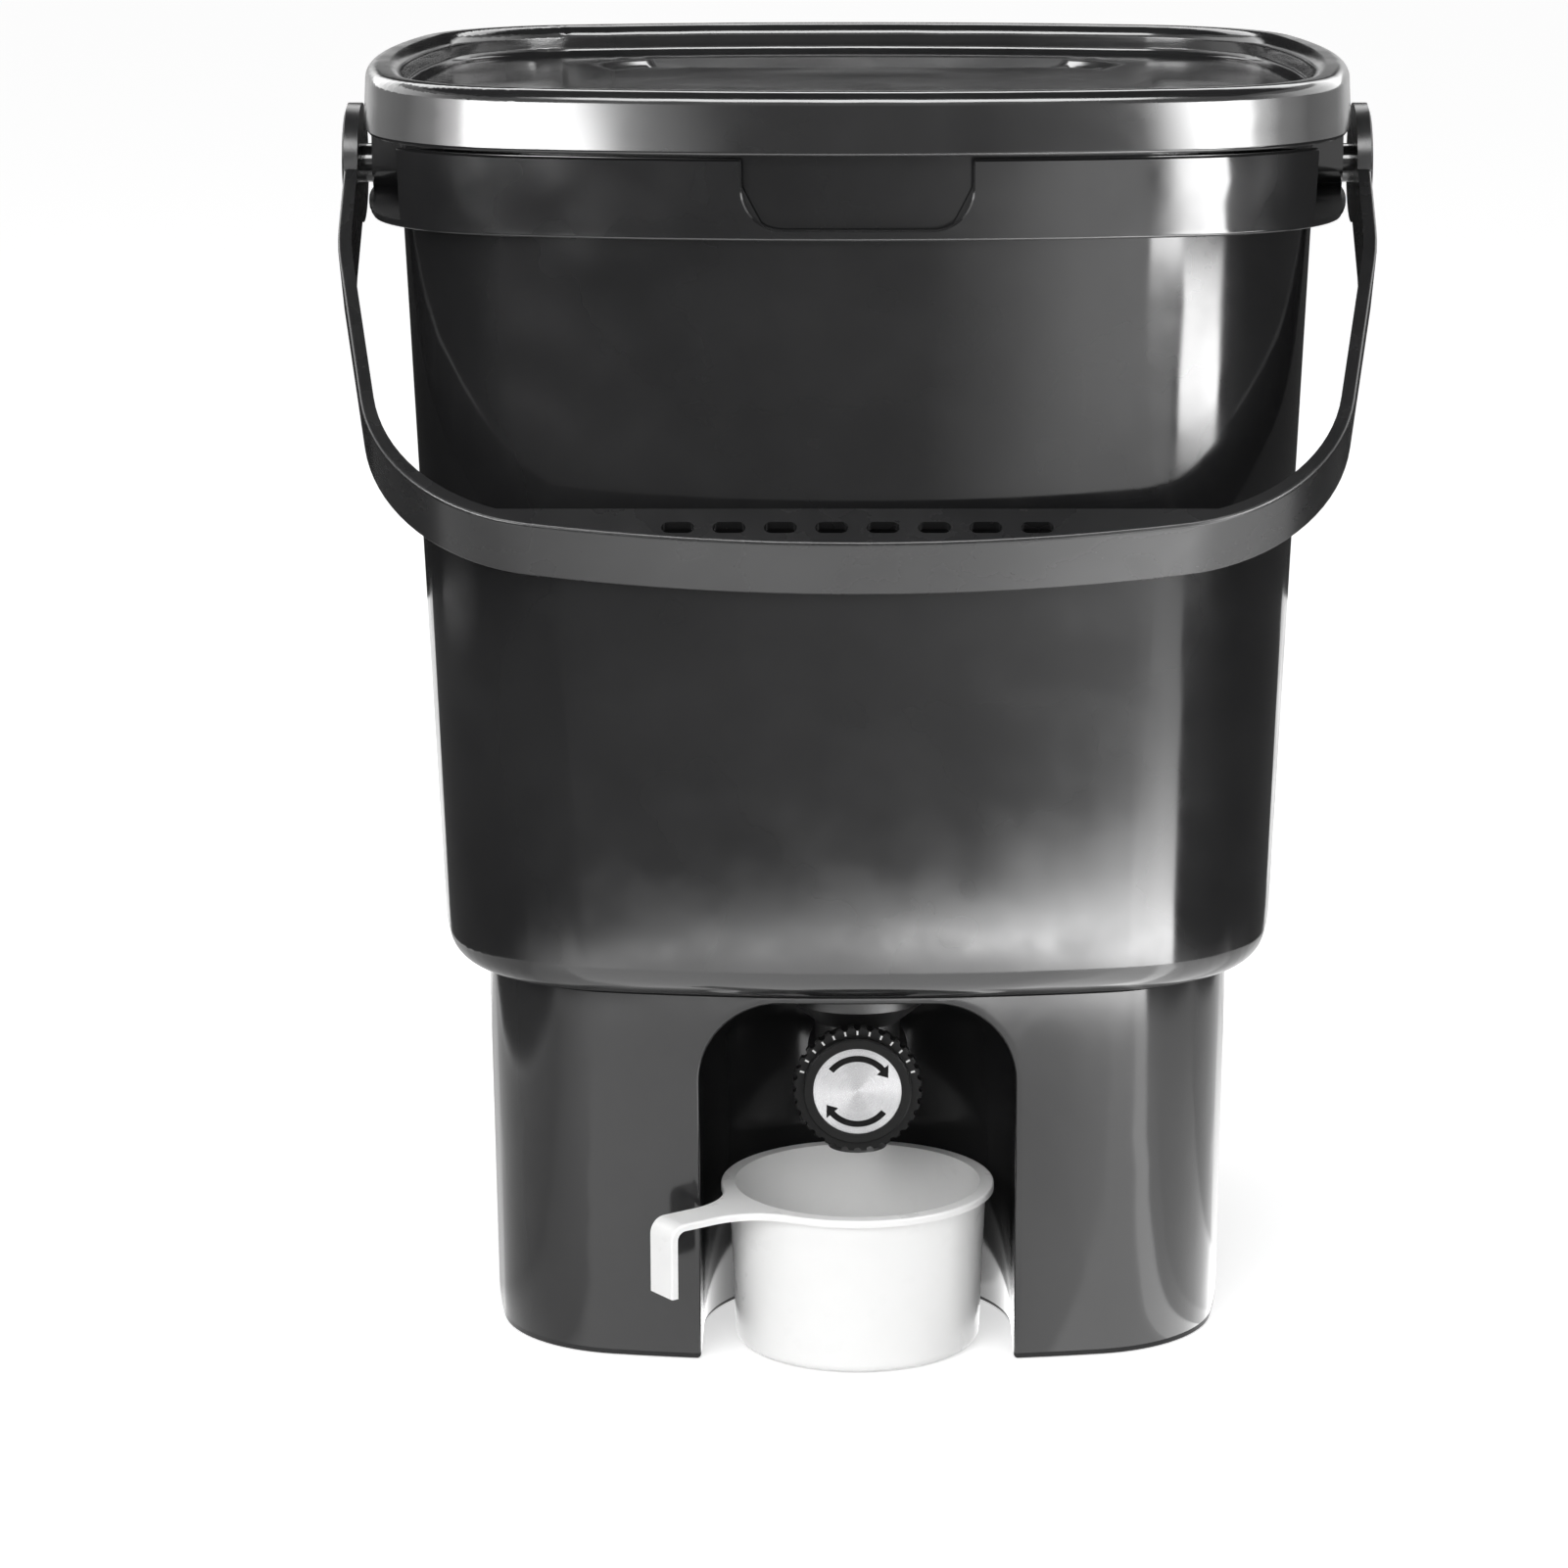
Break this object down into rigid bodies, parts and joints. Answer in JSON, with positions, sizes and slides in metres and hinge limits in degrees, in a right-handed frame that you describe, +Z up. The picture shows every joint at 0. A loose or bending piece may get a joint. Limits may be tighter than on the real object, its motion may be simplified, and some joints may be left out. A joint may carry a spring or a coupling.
{
  "type": "kitchen compost caddy",
  "caption": "Upright lidded compost bucket on a hollow stand, with a swing handle, strainer plate, plug tap in an arched alcove and a small drip cup under the spout.",
  "frame": {"origin": "middle of the stand's foot, on the surface that the caddy stands on", "axes": "+Z up, -Y towards the front with the tap, +X to the right as seen from the front"},
  "size_m": [0.3174, 0.2816, 0.3875],
  "materials": {
    "black_gloss_plastic": "high gloss moulded",
    "black_satin_plastic": "satin moulded",
    "white_plastic": "satin moulded",
    "black_rubber": "soft matt",
    "steel": "plain bright",
    "aluminium_plate": "circular brushed"
  },
  "bodies": {
    "bin": {"bucket": "black_gloss_plastic", "stand": "black_gloss_plastic", "stand_screws": "steel", "tap_body": "black_satin_plastic", "tap_outer_washer": "black_rubber", "tap_inner_washer": "black_rubber", "tap_nut": "black_satin_plastic"},
    "lid": {"lid": "black_gloss_plastic", "lid_seal": "black_rubber"},
    "handle": {"handle": "black_gloss_plastic"},
    "tap": {"tap_plug": "black_satin_plastic", "plug_o_rings": "black_rubber", "plug_clip": "steel", "tap_knob": "black_satin_plastic", "knob_disc": "aluminium_plate", "knob_screw": "steel"},
    "strainer": {"strainer": "black_satin_plastic"},
    "cup": {"drip_cup": "white_plastic"}
  },
  "joints": [
    {"name": "lid_lift", "type": "slide", "parent": "bin", "child": "lid", "axis": [0, 0, 1], "range_m": [0, 0.15]},
    {"name": "handle_swing", "type": "hinge", "parent": "bin", "child": "handle", "pos_m": [0, 0, 0.354], "axis": [-1, 0, 0], "range_deg": [0, 248]},
    {"name": "tap_turn", "type": "hinge", "parent": "bin", "child": "tap", "pos_m": [0, -0.07975, 0.086], "axis": [0, 1, 0], "range_deg": [0, 90]},
    {"name": "strainer_lift", "type": "slide", "parent": "bin", "child": "strainer", "axis": [0, 0, 1], "range_m": [0, 0.2]},
    {"name": "cup_slide", "type": "slide", "parent": "bin", "child": "cup", "axis": [0, -1, 0], "range_m": [0, 0.12]}
  ]
}
